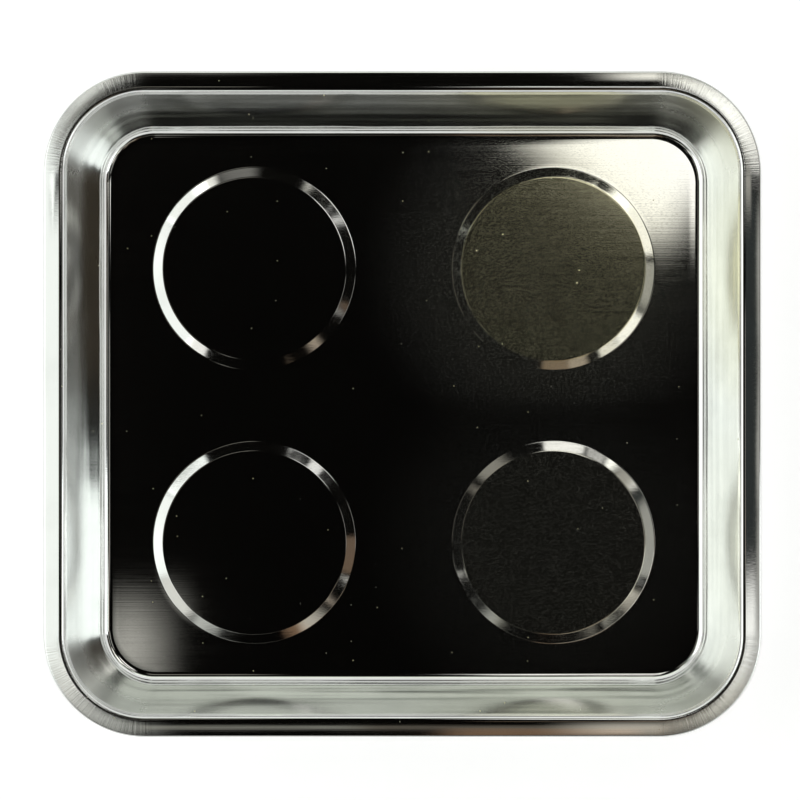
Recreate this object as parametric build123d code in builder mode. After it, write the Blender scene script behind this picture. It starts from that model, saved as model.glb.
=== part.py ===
from build123d import *
import os
from math import cos, radians, tan

# Magnetic parts tray, in millimetres. The ground under the rubber feet is Z = 0, the tray's middle is
# on the Z axis, X runs along the long side and +Y to the back.

# Pressed pan
tray_length = 291.0  # over the curled edge
tray_width = 270.0
pan_depth = 32.2  # from the floor's face to the line where the wall's and the rim's faces meet
sheet = 0.6
rim_corner_radius = 41.5  # of the curled edge, seen from above
wall_draft = 20.0  # degrees off the vertical
floor_bend = 4.5  # face radii of the bends
rim_bend = 2.0
rim_run = 8.3  # from the line where wall and rim meet to the outermost edge
rim_slope = 11.0  # degrees that the rim falls outwards
curl_radius = 1.3
curl_flat = 0.2  # short upright land between the two halves of the curl
curl_return = 4.0  # how far the edge goes back under the rim
floor_seam = 6.0  # flat strip of the floor that is pressed with the walls

# Raised islands, each with a pocket underneath for a magnet
island_height = 1.2
island_slope_run = 4.2
island_bend = 2.0
island_seam = 2.0  # flat strip of the floor that is pressed with the island

# Magnets and what holds them
magnet_diameter = 72.0
magnet_bore = 28.0
magnet_thickness = 8.0
magnet_chamfer = 0.6
plate_thickness = 1.2
plate_overlap = 0.5  # how much smaller than the magnet the plate is, all round
plate_edge = 0.3  # broken edge, all round the side that faces the ground
adhesive_thickness = 0.6
adhesive_margin = 2.0  # bare strip of the magnet's face inside and outside the adhesive

# Rubber boots
boot_wall = 1.85
boot_base = 2.0
boot_fit = 0.15  # between the boot's wall and the magnet
boot_edge = 1.4  # rounding round the sole
spigot_fit = 0.4  # between the spigot and the bore of magnet and plate
spigot_wall = 1.8
spigot_height = 6.0  # above the inside of the base
groove_count = 3
groove_width = 2.0
groove_depth = 0.7
groove_spacing = 6.0
sole_margin = 4.0  # from the outermost groove's middle to the side of the boot
pocket_margin = 0.4  # between the boot's side and the edge of the island's top

# The stack of boot, plate, magnet and adhesive sets how high the pan stands
plate_bottom = boot_base
magnet_bottom = plate_bottom + plate_thickness
adhesive_bottom = magnet_bottom + magnet_thickness
pocket_ceiling = adhesive_bottom + adhesive_thickness
island_top = pocket_ceiling + sheet
floor_face = island_top - island_height

# The walls lean out from the floor to the rim, with all corners about one centre
wall_run = pan_depth * tan(radians(wall_draft))
floor_length = tray_length - 2 * (rim_run + wall_run)
floor_width = tray_width - 2 * (rim_run + wall_run)
floor_corner_radius = rim_corner_radius - rim_run - wall_run
corner_x = tray_length / 2 - rim_corner_radius
corner_y = tray_width / 2 - rim_corner_radius
curl_top = pan_depth - rim_run * tan(radians(rim_slope))
curl_bottom = curl_top - 2 * curl_radius / cos(radians(rim_slope)) - curl_flat
curl_end = curl_bottom + curl_return * tan(radians(rim_slope))

# One island stands in the middle of each quarter of the floor
boot_radius = magnet_diameter / 2 + boot_fit + boot_wall
island_top_radius = boot_radius + pocket_margin
island_base_radius = island_top_radius + island_slope_run
island_pitch_x = floor_length / 2
island_pitch_y = floor_width / 2


def wall_section(plane):
    """Bent sheet from the floor's seam to the end of the curl, with X outwards from the corner's centre."""
    with BuildSketch(plane) as section:
        with BuildLine():
            FilletPolyline(
                (floor_corner_radius - floor_seam, 0),
                (floor_corner_radius, 0),
                (rim_corner_radius - rim_run, pan_depth),
                (rim_corner_radius, curl_top),
                (rim_corner_radius, curl_bottom),
                (rim_corner_radius - curl_return, curl_end),
                radius=[floor_bend, rim_bend, curl_radius, curl_radius],
            )
            offset(amount=sheet, side=Side.RIGHT)
        make_face()
    return section.sketch


# Round pressing of one island, with its top face at the floor's height plus the island's
with BuildPart() as island:
    with BuildSketch(Plane.XZ):
        with BuildLine():
            FilletPolyline(
                (0, island_height),
                (island_top_radius, island_height),
                (island_base_radius, 0),
                (island_base_radius + island_seam, 0),
                radius=[island_bend, island_bend],
            )
            offset(amount=sheet, side=Side.RIGHT)
        make_face()
    revolve(axis=Axis.Z)

# Pan: a quarter of the walls is one short side, one long side and the corner between them
short_side = wall_section(Plane((corner_x, 0, floor_face), x_dir=(1, 0, 0), z_dir=(0, -1, 0)))
long_side = wall_section(Plane((0, corner_y, floor_face), x_dir=(0, 1, 0), z_dir=(1, 0, 0)))
corner = wall_section(Plane((corner_x, corner_y, floor_face), x_dir=(1, 0, 0), z_dir=(0, -1, 0)))

with BuildPart() as tray_pan:
    extrude(short_side, amount=corner_y, both=True)
    extrude(long_side, amount=corner_x, both=True)
    revolve(corner, axis=Axis((corner_x, corner_y, 0), (0, 0, 1)), revolution_arc=90)
    mirror(about=Plane.XZ)
    mirror(about=Plane.YZ)
    with BuildSketch(Plane.XY.offset(floor_face)):
        RectangleRounded(
            floor_length - 2 * floor_seam,
            floor_width - 2 * floor_seam,
            floor_corner_radius - floor_seam,
        )
        with GridLocations(island_pitch_x, island_pitch_y, 2, 2):
            Circle(island_base_radius + island_seam, mode=Mode.SUBTRACT)
    extrude(amount=-sheet)
    with Locations((0, 0, floor_face)):
        with GridLocations(island_pitch_x, island_pitch_y, 2, 2):
            add(island.part)

tray_pan.part.label = "tray_pan"

# Ring of adhesive between the magnet and the pocket's ceiling
with BuildPart() as magnet_adhesive:
    with BuildSketch(Plane.XY.offset(adhesive_bottom)):
        Circle(magnet_diameter / 2 - adhesive_margin)
        Circle(magnet_bore / 2 + adhesive_margin, mode=Mode.SUBTRACT)
    extrude(amount=adhesive_thickness)

# Sintered ferrite ring with ground faces and broken outer edges
with BuildPart() as ring_magnet:
    with BuildSketch(Plane.XY.offset(magnet_bottom)):
        Circle(magnet_diameter / 2)
        Circle(magnet_bore / 2, mode=Mode.SUBTRACT)
    extrude(amount=magnet_thickness)
    round_edges = ring_magnet.edges().filter_by(GeomType.CIRCLE)
    chamfer(round_edges.group_by(SortBy.RADIUS)[-1], length=magnet_chamfer)

# Steel washer under the magnet, with the side that faces the ground deburred
with BuildPart() as backing_plate:
    with BuildSketch(Plane.XY.offset(plate_bottom)):
        Circle(magnet_diameter / 2 - plate_overlap)
        Circle(magnet_bore / 2, mode=Mode.SUBTRACT)
    extrude(amount=plate_thickness)
    chamfer(backing_plate.edges().group_by(Axis.Z)[0], length=plate_edge)

# Rubber cup with a grooved sole and a hollow spigot that centres the plate and the magnet
with BuildPart() as rubber_boot:
    with BuildSketch(Plane.XY):
        Circle(boot_radius)
    extrude(amount=pocket_ceiling)
    fillet(rubber_boot.edges().group_by(Axis.Z)[0], radius=boot_edge)
    with BuildSketch(Plane.XY.offset(boot_base)):
        Circle(boot_radius - boot_wall)
    extrude(amount=pocket_ceiling - boot_base, mode=Mode.SUBTRACT)
    with BuildSketch(Plane.XY.offset(boot_base)):
        Circle(magnet_bore / 2 - spigot_fit)
        Circle(magnet_bore / 2 - spigot_fit - spigot_wall, mode=Mode.SUBTRACT)
    extrude(amount=spigot_height)
    with BuildSketch(Plane.XY):
        for groove in range(groove_count):
            groove_radius = boot_radius - sole_margin - groove * groove_spacing
            Circle(groove_radius + groove_width / 2)
            Circle(groove_radius - groove_width / 2, mode=Mode.SUBTRACT)
    extrude(amount=groove_depth, mode=Mode.SUBTRACT)

# Each island has one stack of adhesive, magnet, plate and boot
stack = {
    "magnet_adhesive": magnet_adhesive.part,
    "ring_magnet": ring_magnet.part,
    "backing_plate": backing_plate.part,
    "rubber_boot": rubber_boot.part,
}
places = {
    "front_left": Location((-island_pitch_x / 2, -island_pitch_y / 2, 0)),
    "front_right": Location((island_pitch_x / 2, -island_pitch_y / 2, 0)),
    "back_left": Location((-island_pitch_x / 2, island_pitch_y / 2, 0)),
    "back_right": Location((island_pitch_x / 2, island_pitch_y / 2, 0)),
}

os.makedirs("parts", exist_ok=True)
export_step(tray_pan.part, "parts/tray_pan.step")
for place_name, place in places.items():
    for piece_name, piece in stack.items():
        placed = piece.moved(place)
        placed.label = f"{piece_name}_{place_name}"
        export_step(placed, f"parts/{placed.label}.step")

print("floor", round(floor_length, 2), "x", round(floor_width, 2), "mm, face at", round(floor_face, 2))
print("island tops at", round(island_top, 2), "mm, pitch", round(island_pitch_x, 2), round(island_pitch_y, 2))
print("tray", round(tray_pan.part.bounding_box().max.Z, 3), "mm high")
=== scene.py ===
from math import pi, radians, tan

import bmesh
import bpy
from mathutils import Matrix


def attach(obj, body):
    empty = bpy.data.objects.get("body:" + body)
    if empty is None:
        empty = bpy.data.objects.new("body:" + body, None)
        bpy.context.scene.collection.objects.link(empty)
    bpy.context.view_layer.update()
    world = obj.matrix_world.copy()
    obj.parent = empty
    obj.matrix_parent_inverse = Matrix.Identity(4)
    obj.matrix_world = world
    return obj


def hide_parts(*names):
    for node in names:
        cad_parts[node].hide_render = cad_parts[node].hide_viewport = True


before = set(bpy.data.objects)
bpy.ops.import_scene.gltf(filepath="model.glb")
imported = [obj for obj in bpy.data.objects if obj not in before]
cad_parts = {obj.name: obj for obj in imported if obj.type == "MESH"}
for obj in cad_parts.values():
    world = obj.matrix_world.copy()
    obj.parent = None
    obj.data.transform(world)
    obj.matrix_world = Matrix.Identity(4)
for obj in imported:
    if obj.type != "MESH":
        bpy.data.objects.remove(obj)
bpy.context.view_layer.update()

# Rubber boots: one black moulded cup under each island. Its wall grips the magnet and the plate, the
# spigot centres them, and the grooved sole is the foot that the tray stands on.
boot_radius = 0.038
boot_height = 0.0118
boot_wall = 0.00185
boot_base = 0.002
boot_sole_edge = 0.0014
boot_lip_edge = 0.0004
boot_steps = 96
spigot_outer = 0.0136
spigot_inner = 0.0118
spigot_top = 0.008
groove_radii = (0.022, 0.028, 0.034)
groove_half = 0.001
groove_depth = 0.0007
groove_edge = 0.00025
stack_x = 0.06274
stack_y = 0.05749
stack_places = {
    "front_left": (-stack_x, -stack_y),
    "front_right": (stack_x, -stack_y),
    "back_left": (-stack_x, stack_y),
    "back_right": (stack_x, stack_y),
}
same_point = 1e-6


def add_profile(bm, points, centre_x=0.0, centre_y=0.0):
    """Open line of edges in the plane of X and Z, from (radius, height) pairs outwards from a centre."""
    verts = [bm.verts.new((centre_x + radius, centre_y, height)) for radius, height in points]
    for start, end in zip(verts, verts[1:]):
        bm.edges.new((start, end))
    return verts


def round_corner(bm, vert, radius, segments):
    """Rounds one corner of an open line to a bend of this radius."""
    first, second = [(edge.other_vert(vert).co - vert.co).normalized() for edge in vert.link_edges]
    turn = pi - first.angle(second)
    bmesh.ops.bevel(bm, geom=[vert], affect="VERTICES", offset=radius * tan(turn / 2),
                    offset_type="OFFSET", segments=segments, profile=0.5, material=-1)


def finished_piece(name, bm, material, sharp_angle):
    """Makes the object, smooth but for edges sharper than this, and gives it to the tray's one body."""
    mesh = bpy.data.meshes.new(name)
    bm.to_mesh(mesh)
    bm.free()
    mesh.shade_smooth()
    mesh.set_sharp_from_angle(angle=radians(sharp_angle))
    mesh.materials.append(material)
    piece = bpy.data.objects.new(name, mesh)
    bpy.context.collection.objects.link(piece)
    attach(piece, "root")
    return piece


def new_material(name):
    """Material with a Principled BSDF, as (material, nodes, links, shader)."""
    material = bpy.data.materials.new(name)
    material.use_nodes = True
    nodes, links = material.node_tree.nodes, material.node_tree.links
    return material, nodes, links, nodes["Principled BSDF"]


def node(nodes, kind, **settings):
    """Adds a node and sets its properties, or its sockets where a setting names one."""
    made = nodes.new(kind)
    for key, value in settings.items():
        if hasattr(made, key):
            setattr(made, key, value)
        else:
            made.inputs[key.replace("_", " ")].default_value = value
    return made


def new_group(name, inputs, outputs):
    """Shader node group of float sockets, as (group, its input node, its output node)."""
    group = bpy.data.node_groups.new(name, "ShaderNodeTree")
    for label, value in inputs:
        made = group.interface.new_socket(name=label, in_out="INPUT", socket_type="NodeSocketFloat")
        made.default_value = value
    for label in outputs:
        group.interface.new_socket(name=label, in_out="OUTPUT", socket_type="NodeSocketFloat")
    return group, group.nodes.new("NodeGroupInput"), group.nodes.new("NodeGroupOutput")


# Soft patches of handling, which every finish of the tray uses, and fine specks, which the rubber,
# the zinc and the ferrite use
patches, patches_in, patches_out = new_group(
    "patches_and_specks", [("Patch Scale", 40.0), ("Speck Scale", 900.0)], ["Patches", "Specks"]
)
patches_place = node(patches.nodes, "ShaderNodeTexCoord")
patch_noise = node(patches.nodes, "ShaderNodeTexNoise", Detail=4.0, Roughness=0.6)
patch_ramp = node(patches.nodes, "ShaderNodeMapRange", interpolation_type="SMOOTHSTEP",
                  From_Min=0.42, From_Max=0.68)
speck_noise = node(patches.nodes, "ShaderNodeTexNoise", Detail=2.0, Roughness=0.5)
speck_ramp = node(patches.nodes, "ShaderNodeMapRange", interpolation_type="SMOOTHSTEP",
                  From_Min=0.66, From_Max=0.74)
for label, noise, step, result in (
    ("Patch Scale", patch_noise, patch_ramp, "Patches"),
    ("Speck Scale", speck_noise, speck_ramp, "Specks"),
):
    patches.links.new(patches_place.outputs["Object"], noise.inputs["Vector"])
    patches.links.new(patches_in.outputs[label], noise.inputs["Scale"])
    patches.links.new(noise.outputs["Fac"], step.inputs["Value"])
    patches.links.new(step.outputs["Result"], patches_out.inputs[result])


def patchy_material(name, patch_scale, speck_scale, clean, handled, glossy, dull):
    """Material that changes in patches, as (material, nodes, links, shader, patches node)."""
    material, nodes, links, shader = new_material(name)
    marks = node(nodes, "ShaderNodeGroup", node_tree=patches)
    marks.inputs["Patch Scale"].default_value = patch_scale
    marks.inputs["Speck Scale"].default_value = speck_scale
    colour = node(nodes, "ShaderNodeMix", data_type="RGBA")
    colour.inputs["A"].default_value = (*clean, 1)
    colour.inputs["B"].default_value = (*handled, 1)
    gloss = node(nodes, "ShaderNodeMapRange", To_Min=glossy, To_Max=dull)
    links.new(marks.outputs["Patches"], colour.inputs["Factor"])
    links.new(colour.outputs["Result"], shader.inputs["Base Color"])
    links.new(marks.outputs["Patches"], gloss.inputs["Value"])
    links.new(gloss.outputs["Result"], shader.inputs["Roughness"])
    return material, nodes, links, shader, marks


def add_bump(nodes, links, shader, height, strength, depth):
    """Raises a finish's surface by a height that another node puts out."""
    bump = node(nodes, "ShaderNodeBump", Strength=strength, Distance=depth)
    links.new(height, bump.inputs["Height"])
    links.new(bump.outputs["Normal"], shader.inputs["Normal"])


rubber, nodes, links, shader, marks = patchy_material(
    "moulded_rubber", 55.0, 1400.0, (0.024, 0.024, 0.026), (0.055, 0.053, 0.05), 0.5, 0.72
)
shader.inputs["IOR"].default_value = 1.5
lint = node(nodes, "ShaderNodeMix", data_type="RGBA")
lint.inputs["B"].default_value = (0.16, 0.15, 0.13, 1)
links.new(shader.inputs["Base Color"].links[0].from_socket, lint.inputs["A"])
links.new(marks.outputs["Specks"], lint.inputs["Factor"])
links.new(lint.outputs["Result"], shader.inputs["Base Color"])
place = node(nodes, "ShaderNodeTexCoord")
skin = node(nodes, "ShaderNodeTexNoise", Scale=2600.0, Detail=2.0)
links.new(place.outputs["Object"], skin.inputs["Vector"])
add_bump(nodes, links, shader, skin.outputs["Fac"], 0.5, 0.00005)

for place_name, (x, y) in stack_places.items():
    bm = bmesh.new()
    sole = [(0.0, 0.0)]
    for radius in groove_radii:
        sole += [(radius - groove_half, 0.0), (radius - groove_half, groove_depth)]
        sole += [(radius + groove_half, groove_depth), (radius + groove_half, 0.0)]
    cup = [
        (boot_radius, 0.0),
        (boot_radius, boot_height),
        (boot_radius - boot_wall, boot_height),
        (boot_radius - boot_wall, boot_base),
        (spigot_outer, boot_base),
        (spigot_outer, spigot_top),
        (spigot_inner, spigot_top),
        (spigot_inner, boot_base),
        (0.0, boot_base),
    ]
    line = add_profile(bm, sole + cup, x, y)
    rim = len(sole)
    for vert in line[1:rim]:
        round_corner(bm, vert, groove_edge, 2)
    round_corner(bm, line[rim], boot_sole_edge, 6)
    for vert in line[rim + 1:rim + 3]:
        round_corner(bm, vert, boot_lip_edge, 3)
    bmesh.ops.spin(bm, geom=bm.verts[:] + bm.edges[:], cent=(x, y, 0), axis=(0, 0, 1), angle=2 * pi,
                   steps=boot_steps, use_merge=True)
    bmesh.ops.remove_doubles(bm, verts=bm.verts, dist=same_point)
    bmesh.ops.recalc_face_normals(bm, faces=bm.faces)
    boot = finished_piece(f"boot_{place_name}", bm, rubber, 35.0)
    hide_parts(f"rubber_boot_{place_name}")

# Backing plates: bright zinc-plated steel washers that close the magnets' circuit on the side of the
# ground. They lie loose in the boots, under the magnets.
zinc, nodes, links, shader, marks = patchy_material(
    "bright_zinc", 120.0, 2200.0, (0.66, 0.67, 0.69), (0.52, 0.55, 0.62), 0.22, 0.42
)
shader.inputs["Metallic"].default_value = 1.0
add_bump(nodes, links, shader, marks.outputs["Specks"], 0.4, 0.00002)
for place_name in stack_places:
    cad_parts[f"backing_plate_{place_name}"].data.materials[0] = zinc

# Ring magnets: sintered ferrite, dark grey and slightly porous, with faces ground flat after firing.
# They stand on the plates and pull through the islands above them.
ferrite, nodes, links, shader, marks = patchy_material(
    "sintered_ferrite", 90.0, 3000.0, (0.06, 0.06, 0.065), (0.1, 0.097, 0.095), 0.5, 0.75
)
add_bump(nodes, links, shader, marks.outputs["Specks"], 0.6, 0.00004)
for place_name in stack_places:
    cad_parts[f"ring_magnet_{place_name}"].data.materials[0] = ferrite

# Adhesive: a ring of cured, cream-coloured adhesive under each island. It bonds the magnet to the
# ceiling of its pocket, and it has set slightly lumpy.
cured, nodes, links, shader, marks = patchy_material(
    "cured_adhesive", 150.0, 700.0, (0.74, 0.68, 0.52), (0.66, 0.58, 0.4), 0.35, 0.5
)
place = node(nodes, "ShaderNodeTexCoord")
lumps = node(nodes, "ShaderNodeTexNoise", Scale=260.0, Detail=3.0)
links.new(place.outputs["Object"], lumps.inputs["Vector"])
add_bump(nodes, links, shader, lumps.outputs["Fac"], 0.6, 0.0003)
for place_name in stack_places:
    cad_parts[f"magnet_adhesive_{place_name}"].data.materials[0] = cured

# Pan: one sheet of polished stainless steel, 0.6 mm thick, pressed to a dish with leaning walls, a
# falling rim whose edge is curled under, and four round islands over the magnets.
sheet = 0.0006
floor_face = 0.0112
corner_x = 0.104
corner_y = 0.0935
floor_seam_radius = 0.01548
wall_foot_radius = 0.02148
wall_top_radius = 0.0332
pan_depth = 0.0322
rim_radius = 0.0415
curl_top = 0.030587
curl_bottom = 0.027738
curl_end_radius = 0.0375
curl_end = 0.028516
floor_bend = 0.0045
rim_bend = 0.002
curl_bend = 0.0013
side_steps = 8
corner_steps = 64
island_height = 0.0012
island_top_radius = 0.0384
island_base_radius = 0.0426
island_seam_radius = 0.0446
island_bend = 0.002
island_steps = 128
same_height = 1e-5

bm = bmesh.new()
wall_line = [
    (floor_seam_radius, floor_face),
    (wall_foot_radius, floor_face),
    (wall_top_radius, floor_face + pan_depth),
    (rim_radius, floor_face + curl_top),
    (rim_radius, floor_face + curl_bottom),
    (curl_end_radius, floor_face + curl_end),
]
line = add_profile(bm, wall_line, corner_x, corner_y)
bends = ((floor_bend, 16), (rim_bend, 10), (curl_bend, 8), (curl_bend, 8))
for vert, (radius, segments) in zip(line[1:5], bends):
    round_corner(bm, vert, radius, segments)
section = bm.verts[:] + bm.edges[:]
turned = bmesh.ops.spin(bm, geom=section, cent=(corner_x, corner_y, 0), axis=(0, 0, 1), angle=pi / 2,
                        steps=corner_steps)
for start, step in (
    (section, (0, -corner_y / side_steps, 0)),
    (turned["geom_last"], (-corner_x / side_steps, 0, 0)),
):
    bmesh.ops.spin(bm, geom=start, cent=(0, 0, 0), axis=(0, 0, 1), dvec=step, angle=0, steps=side_steps)
bmesh.ops.remove_doubles(bm, verts=bm.verts, dist=same_point)
for axis in ("X", "Y"):
    bmesh.ops.mirror(bm, geom=bm.verts[:] + bm.edges[:] + bm.faces[:], matrix=Matrix(),
                     merge_dist=same_height, axis=axis)

island_line = [
    (0.0, floor_face + island_height),
    (island_top_radius, floor_face + island_height),
    (island_base_radius, floor_face),
    (island_seam_radius, floor_face),
]
for x, y in stack_places.values():
    line = add_profile(bm, island_line, x, y)
    pressed = set(bm.verts) - set(line)
    for vert in line[1:3]:
        round_corner(bm, vert, island_bend, 10)
    section = [vert for vert in bm.verts if vert not in pressed]
    section += [edge for edge in bm.edges if edge.verts[0] not in pressed]
    bmesh.ops.spin(bm, geom=section, cent=(x, y, 0), axis=(0, 0, 1), angle=2 * pi, steps=island_steps,
                   use_merge=True)
bmesh.ops.remove_doubles(bm, verts=bm.verts, dist=same_point)
open_edges = [
    edge for edge in bm.edges
    if edge.is_boundary and all(abs(vert.co.z - floor_face) < same_height for vert in edge.verts)
]
bmesh.ops.triangle_fill(bm, edges=open_edges, use_beauty=True, normal=(0, 0, 1))
bmesh.ops.recalc_face_normals(bm, faces=bm.faces)
floor_faces = [face for face in bm.faces if abs(face.calc_center_median().z - floor_face) < same_height]
if floor_faces[0].normal.z < 0:
    bmesh.ops.reverse_faces(bm, faces=bm.faces)
bmesh.ops.solidify(bm, geom=bm.faces[:], thickness=sheet)

steel, nodes, links, shader = new_material("polished_stainless")
place = node(nodes, "ShaderNodeTexCoord")
at = node(nodes, "ShaderNodeSeparateXYZ")
links.new(place.outputs["Object"], at.inputs["Vector"])


def maths(operation, *values):
    """Math node of the steel, fed with numbers or other sockets, as its output."""
    made = node(nodes, "ShaderNodeMath", operation=operation)
    for socket, value in zip(made.inputs, values):
        if isinstance(value, (int, float)):
            socket.default_value = value
        else:
            links.new(value, socket)
    return made.outputs["Value"]


def plus(*values):
    """Sum of several values of the steel, as an output."""
    total = values[0]
    for value in values[1:]:
        total = maths("ADD", total, value)
    return total


def times(first, second):
    """Product of two values of the steel, as an output."""
    return maths("MULTIPLY", first, second)


def ramp(value, low, high, to_low=0.0, to_high=1.0):
    """Smooth step of the steel from one level to another, as an output."""
    made = node(nodes, "ShaderNodeMapRange", interpolation_type="SMOOTHSTEP", From_Min=low, From_Max=high,
                To_Min=to_low, To_Max=to_high)
    links.new(value, made.inputs["Value"])
    return made.outputs["Result"]


def vector_of(**parts):
    """Vector of the steel from values for X, Y and Z, as an output."""
    made = node(nodes, "ShaderNodeCombineXYZ")
    for axis, value in parts.items():
        links.new(value, made.inputs[axis])
    return made.outputs["Vector"]


def stretched_noise(vector, scale, detail):
    """Noise of the steel on coordinates that a Mapping node stretches, as an output."""
    mapping = node(nodes, "ShaderNodeMapping")
    mapping.inputs["Scale"].default_value = scale
    links.new(vector, mapping.inputs["Vector"])
    made = node(nodes, "ShaderNodeTexNoise", Scale=1.0, Detail=detail, Roughness=0.55)
    links.new(mapping.outputs["Vector"], made.inputs["Vector"])
    return made.outputs["Fac"]


# Rolled grain runs along X, scuffs are finer, and drawing leaves ripples along each wall
grain = stretched_noise(place.outputs["Object"], (20.0, 2300.0, 2300.0), 2.0)
scuff = ramp(stretched_noise(place.outputs["Object"], (900.0, 2600.0, 2600.0), 2.0), 0.50, 0.62)
along_wall = vector_of(X=plus(at.outputs["X"], at.outputs["Y"]), Y=at.outputs["Z"])
ripple = stretched_noise(along_wall, (7.0, 170.0, 1.0), 1.0)

# Zones by height: above the floor, the drawn wall between its bends, and the rim
floor_ends = (0.0126, 0.0140)
wall_begins = (0.0125, 0.0170)
wall_ends = (0.0400, 0.0425)
rim_begins = (0.0405, 0.0420)
wall_zone = times(ramp(at.outputs["Z"], *wall_begins), ramp(at.outputs["Z"], *wall_ends, 1.0, 0.0))
rim_zone = ramp(at.outputs["Z"], *rim_begins)

# The right islands' tops have dulled and the floor round them is a little fogged, the front one less
dulled_edge = (0.0380, 0.0395)
fogged_edge = (0.0400, 0.0850)
front_dulled = 0.33
front_fogged = 0.3
across = node(nodes, "ShaderNodeVectorMath", operation="DISTANCE")
across.inputs[1].default_value = (stack_x, stack_y, 0)
links.new(vector_of(X=at.outputs["X"], Y=maths("ABSOLUTE", at.outputs["Y"])), across.inputs[0])
in_back = ramp(at.outputs["Y"], -0.01, 0.01)
dulled = times(ramp(across.outputs["Value"], *dulled_edge, 1.0, 0.0),
               ramp(in_back, 0.0, 1.0, front_dulled, 1.0))
fogged = times(ramp(across.outputs["Value"], *fogged_edge, 1.0, 0.0),
               ramp(in_back, 0.0, 1.0, front_fogged, 1.0))
fogged = times(fogged, ramp(at.outputs["Z"], *floor_ends, 1.0, 0.0))

# Marks of the draw fan out round each corner of the rim
corner_begins = (-0.004, 0.006)
corner_east = maths("SUBTRACT", maths("ABSOLUTE", at.outputs["X"]), corner_x)
corner_north = maths("SUBTRACT", maths("ABSOLUTE", at.outputs["Y"]), corner_y)
bearing = maths("ARCTAN2", corner_north, corner_east)
fan = vector_of(X=bearing, Y=at.outputs["Z"], Z=times(at.outputs["X"], 8.0))
fan_noise = stretched_noise(fan, (70.0, 60.0, 1.0), 2.0)
in_corner = times(ramp(corner_east, *corner_begins), ramp(corner_north, *corner_begins))
fan_zone = times(in_corner, rim_zone)

# A thin film of dust lies on the dulled tops, and single specks lie here and there. The yellow tint of the
# dulled tops and the fogged floor is partly this dust and partly a painted reflection of warm light.
film = plus(times(dulled, 0.05), times(fogged, 0.045))
film = times(film, plus(0.3, times(scuff, 1.4)))
cells = node(nodes, "ShaderNodeTexVoronoi", voronoi_dimensions="2D", Scale=95.0)
links.new(place.outputs["Object"], cells.inputs["Vector"])
chance = node(nodes, "ShaderNodeSeparateColor")
links.new(cells.outputs["Color"], chance.inputs["Color"])
specks = times(ramp(cells.outputs["Distance"], 0.010, 0.026, 1.0, 0.0),
               ramp(chance.outputs["Red"], 0.84, 0.96))
dust = maths("MAXIMUM", film, specks)
links.new(maths("SUBTRACT", 1.0, dust), shader.inputs["Metallic"])

marks = node(nodes, "ShaderNodeGroup", node_tree=patches)
marks.inputs["Patch Scale"].default_value = 28.0
clean_steel = node(nodes, "ShaderNodeMix", data_type="RGBA")
clean_steel.inputs["A"].default_value = (0.71, 0.72, 0.70, 1)
clean_steel.inputs["B"].default_value = (0.66, 0.67, 0.65, 1)
# Painted reflection, partly dust: the dulled tops and the fogged floor are tinted yellow in place of the
# warm light that they mirror; the specks' tint is dust
dust_and_reflection_tint_steel = node(nodes, "ShaderNodeMix", data_type="RGBA")
dust_and_reflection_tint_steel.inputs["B"].default_value = (0.80, 0.75, 0.36, 1)
dust_and_reflection_tint = plus(times(dulled, 0.4), times(fogged, 0.2))
links.new(marks.outputs["Patches"], clean_steel.inputs["Factor"])
links.new(clean_steel.outputs["Result"], dust_and_reflection_tint_steel.inputs["A"])
links.new(maths("MAXIMUM", specks, dust_and_reflection_tint), dust_and_reflection_tint_steel.inputs["Factor"])
links.new(dust_and_reflection_tint_steel.outputs["Result"], shader.inputs["Base Color"])

# The wall is rougher the further it was drawn, and most of all in the corners
polish = ramp(grain, 0.3, 0.7, 0.035, 0.065)
wall_gloss = plus(ramp(at.outputs["Z"], 0.022, 0.034, 0.05, 0.17), times(in_corner, 0.08))
scuff_gloss = times(scuff, plus(times(fogged, 0.03), 0.02))
dull_gloss = plus(times(dulled, 0.08), times(specks, 0.5))
gloss = plus(polish, times(wall_zone, wall_gloss), times(fan_zone, 0.1), scuff_gloss, dull_gloss)
links.new(gloss, shader.inputs["Roughness"])

# The dulled tops lean a little to the front left, the back one more, and the walls sway
top_lean = (-0.020, -0.026, 0)
sway = times(maths("SUBTRACT", ripple, 0.5), times(wall_zone, 0.07))
surface = node(nodes, "ShaderNodeNewGeometry")
swayed = node(nodes, "ShaderNodeVectorMath", operation="ADD")
links.new(surface.outputs["Normal"], swayed.inputs[0])
links.new(vector_of(X=sway, Y=sway), swayed.inputs[1])
leaning = node(nodes, "ShaderNodeVectorMath", operation="SCALE")
leaning.inputs[0].default_value = top_lean
links.new(dulled, leaning.inputs["Scale"])
leant = node(nodes, "ShaderNodeVectorMath", operation="ADD")
links.new(swayed.outputs["Vector"], leant.inputs[0])
links.new(leaning.outputs["Vector"], leant.inputs[1])
leant_normal = node(nodes, "ShaderNodeVectorMath", operation="NORMALIZE")
links.new(leant.outputs["Vector"], leant_normal.inputs[0])

# Each unevenness is laid over the one before: waves of the sheet, dents, ripples, fan marks and grain
wave = node(nodes, "ShaderNodeTexNoise", Scale=16.0, Detail=1.0)
dent = node(nodes, "ShaderNodeTexNoise", Scale=26.0, Detail=1.0)
for noise in (wave, dent):
    links.new(place.outputs["Object"], noise.inputs["Vector"])
normal = leant_normal.outputs["Vector"]
for height, strength, depth in (
    (wave.outputs["Fac"], 1.0, 0.00003),
    (times(dent.outputs["Fac"], wall_zone), 1.0, 0.0004),
    (times(ripple, wall_zone), 1.0, 0.00012),
    (times(fan_noise, fan_zone), 1.0, 0.00006),
    (grain, 0.2, 0.00002),
):
    bump = node(nodes, "ShaderNodeBump", Strength=strength, Distance=depth)
    links.new(height, bump.inputs["Height"])
    links.new(normal, bump.inputs["Normal"])
    normal = bump.outputs["Normal"]
links.new(normal, shader.inputs["Normal"])

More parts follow.
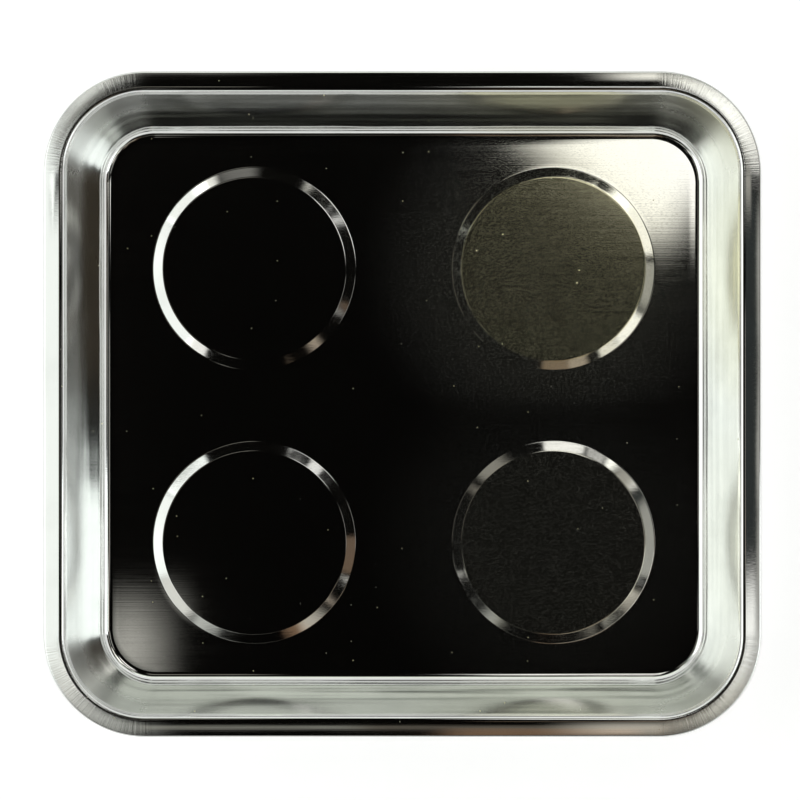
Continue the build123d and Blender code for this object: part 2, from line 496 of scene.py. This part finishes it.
pan = finished_piece("pan", bm, steel, 40.0)
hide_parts("tray_pan")

# Studio: a pale floor under the tray, softboxes and a black ceiling that the polished steel mirrors,
# and a camera straight above.
floor_size = 6.0
floor_gap = 0.0002
ceiling_size = 2.2
ceiling_height = 1.3
paper_glow = 0.6


def stage_sheet(name, material, half_width, half_depth, matrix=Matrix()):
    """Flat rectangle of the studio, which isn't part of the tray."""
    mesh = bpy.data.meshes.new(name)
    bm = bmesh.new()
    bmesh.ops.create_grid(bm, x_segments=1, y_segments=1, size=1.0)
    bmesh.ops.scale(bm, verts=bm.verts, vec=(half_width, half_depth, 1))
    bmesh.ops.transform(bm, verts=bm.verts, matrix=matrix)
    bm.to_mesh(mesh)
    bm.free()
    mesh.materials.append(material)
    sheet_object = bpy.data.objects.new(name, mesh)
    bpy.context.collection.objects.link(sheet_object)
    return sheet_object


def seen_directly(nodes, links):
    """1 for rays from the camera, from gloss or through clear pieces, and 0 for others, as an output."""
    rays = node(nodes, "ShaderNodeLightPath")
    first = node(nodes, "ShaderNodeMath", operation="MAXIMUM")
    second = node(nodes, "ShaderNodeMath", operation="MAXIMUM")
    links.new(rays.outputs["Is Camera Ray"], first.inputs[0])
    links.new(rays.outputs["Is Glossy Ray"], first.inputs[1])
    links.new(first.outputs["Value"], second.inputs[0])
    links.new(rays.outputs["Is Transmission Ray"], second.inputs[1])
    return second.outputs["Value"]


paper, nodes, links, shader = new_material("white_paper")
shader.inputs["Base Color"].default_value = (0.86, 0.86, 0.86, 1)
shader.inputs["Roughness"].default_value = 0.9
shader.inputs["Emission Color"].default_value = (1, 1, 1, 1)
glow = node(nodes, "ShaderNodeMath", operation="MULTIPLY")
glow.inputs[1].default_value = paper_glow
links.new(seen_directly(nodes, links), glow.inputs[0])
links.new(glow.outputs["Value"], shader.inputs["Emission Strength"])
stage_sheet("studio_floor", paper, floor_size, floor_size, Matrix.Translation((0, 0, -floor_gap)))

black, nodes, links, shader = new_material("black_cloth")
shader.inputs["Base Color"].default_value = (0.003, 0.0027, 0.0024, 1)
shader.inputs["Roughness"].default_value = 1.0
shader.inputs["Specular IOR Level"].default_value = 0.0
ceiling = stage_sheet("studio_ceiling", black, ceiling_size, ceiling_size,
                      Matrix.Translation((0, 0, ceiling_height)))
ceiling.visible_camera = False

# A softbox's face glows evenly and fades to nothing at its edges
box_edge, edge_in, edge_out = new_group(
    "softbox_edge", [("Half Width", 0.5), ("Half Depth", 0.5), ("Fade", 0.1)], ["Glow"]
)
edge_place = node(box_edge.nodes, "ShaderNodeTexCoord")
edge_at = node(box_edge.nodes, "ShaderNodeSeparateXYZ")
box_edge.links.new(edge_place.outputs["Object"], edge_at.inputs["Vector"])
both = node(box_edge.nodes, "ShaderNodeMath", operation="MULTIPLY")
for socket, axis, half in ((0, "X", "Half Width"), (1, "Y", "Half Depth")):
    far = node(box_edge.nodes, "ShaderNodeMath", operation="ABSOLUTE")
    left = node(box_edge.nodes, "ShaderNodeMath", operation="SUBTRACT")
    share = node(box_edge.nodes, "ShaderNodeMath", operation="DIVIDE")
    step = node(box_edge.nodes, "ShaderNodeMapRange", interpolation_type="SMOOTHSTEP")
    box_edge.links.new(edge_at.outputs[axis], far.inputs[0])
    box_edge.links.new(edge_in.outputs[half], left.inputs[0])
    box_edge.links.new(far.outputs["Value"], left.inputs[1])
    box_edge.links.new(left.outputs["Value"], share.inputs[0])
    box_edge.links.new(edge_in.outputs["Fade"], share.inputs[1])
    box_edge.links.new(share.outputs["Value"], step.inputs["Value"])
    box_edge.links.new(step.outputs["Result"], both.inputs[socket])
box_edge.links.new(both.outputs["Value"], edge_out.inputs["Glow"])


def softbox(name, x_range, y_range, radiance, colour, fade, turn, height):
    """Level softbox that faces down, turned by degrees about its middle, and shows only in reflections."""
    half_width = (x_range[1] - x_range[0] + fade) / 2
    half_depth = (y_range[1] - y_range[0] + fade) / 2
    face, nodes, links, shader = new_material(name)
    edge = node(nodes, "ShaderNodeGroup", node_tree=box_edge)
    edge.inputs["Half Width"].default_value = half_width
    edge.inputs["Half Depth"].default_value = half_depth
    edge.inputs["Fade"].default_value = fade
    glow = node(nodes, "ShaderNodeEmission")
    glow.inputs["Color"].default_value = (*colour, 1)
    strength = node(nodes, "ShaderNodeMath", operation="MULTIPLY")
    strength.inputs[1].default_value = radiance
    clear = node(nodes, "ShaderNodeBsdfTransparent")
    added = node(nodes, "ShaderNodeAddShader")
    links.new(edge.outputs["Glow"], strength.inputs[0])
    links.new(strength.outputs["Value"], glow.inputs["Strength"])
    links.new(glow.outputs["Emission"], added.inputs[0])
    links.new(clear.outputs["BSDF"], added.inputs[1])
    links.new(added.outputs["Shader"], nodes["Material Output"].inputs["Surface"])
    box = stage_sheet(name, face, half_width, half_depth)
    box.location = (sum(x_range) / 2, sum(y_range) / 2, height)
    box.rotation_euler = (0, 0, radians(turn))
    box.visible_camera = False


# Name, range in X, range in Y, radiance, colour, width of the fading edge, and turn in degrees. Each
# softbox hangs a little above the one before, because rays skip one of two faces at the same height.
softboxes_height = 0.9
softboxes_gap = 0.0002
softboxes = (
    ("left_far", (-1.90, -0.90), (-0.70, 0.75), 2.0, (0.97, 1.0, 0.98), 0.25, 0.0),
    ("left_near", (-0.90, -0.73), (-0.34, 0.50), 1.30, (0.97, 1.0, 0.97), 0.06, 0.0),
    ("left_near_middle", (-0.765, -0.435), (0.295, 0.355), 1.40, (0.97, 1.0, 0.97), 0.03, 43.0),
    ("left_near_front", (-0.73, -0.58), (-0.34, 0.20), 1.30, (0.97, 1.0, 0.97), 0.06, 0.0),
    ("left_near_back", (-0.81, -0.45), (0.57, 0.66), 1.30, (0.98, 1.0, 0.96), 0.03, 45.0),
    ("left_front", (-0.80, -0.58), (-0.60, -0.34), 0.90, (1.0, 0.99, 0.93), 0.06, 0.0),
    ("left_front_edge", (-0.60, -0.475), (-0.44, -0.30), 1.20, (1.0, 0.98, 0.94), 0.03, 0.0),
    ("left_dim", (-0.40, -0.31), (-0.10, 0.25), 0.20, (1.0, 0.92, 0.80), 0.04, 0.0),
    ("left_back", (-1.30, -0.55), (0.80, 1.50), 1.0, (0.96, 1.0, 0.95), 0.25, 0.0),
    ("front_left_far", (-1.70, -0.85), (-1.60, -0.85), 0.55, (0.95, 1.0, 0.92), 0.25, 0.0),
    ("front_left", (-0.58, -0.40), (-0.70, -0.50), 0.62, (0.99, 1.0, 0.94), 0.08, 0.0),
    ("back_left_corner", (-0.58, -0.43), (0.67, 0.80), 1.10, (1.0, 0.98, 0.92), 0.06, 0.0),
    ("back_left_flange", (-0.77, -0.43), (0.46, 0.54), 0.32, (1.0, 0.96, 0.86), 0.03, 45.0),
    ("back_left_mid", (-0.36, -0.15), (0.30, 0.42), 0.30, (1.0, 0.95, 0.84), 0.06, 0.0),
    ("back_left", (-0.42, -0.16), (0.77, 0.86), 0.22, (1.0, 0.97, 0.90), 0.10, 0.0),
    ("back", (-0.60, 0.45), (0.92, 1.60), 1.05, (0.96, 1.0, 0.91), 0.12, 0.0),
    ("back_right_distance", (0.60, 1.50), (0.95, 1.60), 0.60, (0.95, 1.0, 0.92), 0.20, 0.0),
    ("back_strip", (0.06, 0.32), (0.475, 0.54), 1.30, (1.0, 0.98, 0.95), 0.03, 0.0),
    ("back_strip_end", (0.335, 0.455), (0.44, 0.47), 0.80, (1.0, 0.98, 0.95), 0.03, -28.0),
    ("back_right", (0.0246, 0.2796), (0.2229, 0.3649), 1.50, (1.0, 0.98, 0.95), 0.05, -40.0),
    ("back_right_tip", (0.18, 0.27), (0.355, 0.385), 1.20, (1.0, 0.98, 0.95), 0.03, -40.0),
    ("back_right_low", (0.285, 0.38), (-0.14, 0.10), 0.55, (1.0, 0.97, 0.92), 0.04, 0.0),
    ("back_right_top", (0.175, 0.285), (0.69, 0.76), 1.30, (1.0, 0.97, 0.88), 0.06, 0.0),
    ("back_right_rim", (0.285, 0.42), (0.63, 0.735), 1.80, (1.0, 0.98, 0.90), 0.03, 0.0),
    ("back_right_mid", (0.38, 0.64), (0.52, 0.68), 1.80, (1.0, 0.99, 0.93), 0.05, 0.0),
    ("back_right_side", (0.47, 0.64), (0.38, 0.52), 1.80, (1.0, 0.99, 0.93), 0.05, 0.0),
    ("back_right_far", (0.64, 0.84), (0.25, 0.85), 1.30, (1.0, 0.98, 0.93), 0.06, 0.0),
    ("back_right_near", (0.53, 0.64), (0.20, 0.36), 0.45, (1.0, 0.96, 0.86), 0.05, 0.0),
    ("right_front", (0.90, 1.90), (-0.85, -0.05), 2.1, (0.96, 1.0, 1.0), 0.05, 0.0),
    ("right_back", (0.90, 1.90), (0.05, 0.85), 0.05, (1.0, 0.76, 0.52), 0.10, 0.0),
    ("right_mid", (0.71, 0.84), (-0.34, 0.20), 0.42, (1.0, 0.99, 0.92), 0.04, 0.0),
    ("right", (0.50, 0.70), (-0.12, 0.22), 0.035, (0.85, 1.0, 1.0), 0.04, 0.0),
    ("right_glow", (0.40, 0.49), (-0.30, -0.07), 0.16, (1.0, 0.68, 0.46), 0.04, 0.0),
    ("right_corner_glow", (0.17, 0.25), (-0.35, -0.27), 0.40, (1.0, 0.82, 0.64), 0.05, 0.0),
    ("front_right", (0.53, 0.70), (-0.38, -0.14), 1.30, (1.0, 0.99, 0.96), 0.06, 0.0),
    ("front_right_edge", (0.42, 0.54), (-0.43, -0.33), 1.00, (1.0, 0.97, 0.90), 0.03, 0.0),
    ("front_right_corner", (0.38, 0.68), (-0.57, -0.45), 0.88, (1.0, 0.97, 0.86), 0.05, 45.0),
    ("front_right_low", (0.60, 0.76), (-0.66, -0.44), 0.32, (1.0, 0.92, 0.80), 0.06, 0.0),
    ("front_right_rim", (0.14, 0.40), (-0.70, -0.56), 0.42, (1.0, 0.93, 0.80), 0.08, 0.0),
    ("front_right_far", (0.62, 1.50), (-1.50, -0.80), 1.1, (0.96, 1.0, 0.95), 0.30, 0.0),
    ("front_glow_right", (0.22, 0.34), (-0.50, -0.42), 0.42, (1.0, 0.84, 0.68), 0.04, 0.0),
    ("front_glow", (0.05, 0.22), (-0.51, -0.44), 0.24, (1.0, 0.74, 0.52), 0.04, 0.0),
    ("front_brown", (0.02, 0.20), (-0.71, -0.65), 0.22, (1.0, 0.62, 0.38), 0.04, 0.0),
    ("front_dim", (-0.36, -0.06), (-0.65, -0.605), 0.26, (1.0, 0.98, 0.86), 0.05, 0.0),
    ("front_left_rim", (-0.44, -0.26), (-0.70, -0.56), 0.36, (0.99, 1.0, 0.94), 0.08, 0.0),
    ("front", (-0.06, 0.30), (-0.65, -0.605), 0.14, (1.0, 0.88, 0.72), 0.05, 0.0),
    ("front_far", (-1.00, 0.62), (-1.70, -1.13), 0.10, (0.98, 1.0, 0.86), 0.07, 0.0),
    ("floor_glow", (-0.280, -0.235), (-0.225, -0.160), 0.55, (1.0, 0.97, 0.89), 0.06, 0.0),
)
for rank, (name, x_range, y_range, radiance, colour, fade, turn) in enumerate(softboxes):
    height = softboxes_height + softboxes_gap * rank
    softbox(name, x_range, y_range, radiance, colour, fade, turn, height)

world = bpy.data.worlds.new("studio_air")
bpy.context.scene.world = world
world.use_nodes = True
nodes, links = world.node_tree.nodes, world.node_tree.links
nodes["Background"].inputs["Color"].default_value = (1, 1, 1, 1)
level = node(nodes, "ShaderNodeMapRange", To_Min=0.6, To_Max=1.0)
links.new(seen_directly(nodes, links), level.inputs["Value"])
links.new(level.outputs["Result"], nodes["Background"].inputs["Strength"])

camera_data = bpy.data.cameras.new("camera")
camera_data.lens = 88.98
camera_data.sensor_width = 36.0
camera_data.shift_x = -0.0524
camera_data.shift_y = 0.0576
camera = bpy.data.objects.new("camera", camera_data)
camera.location = (0.016, -0.017, 0.842)
bpy.context.collection.objects.link(camera)
bpy.context.scene.camera = camera
bpy.context.scene.view_settings.view_transform = "Standard"
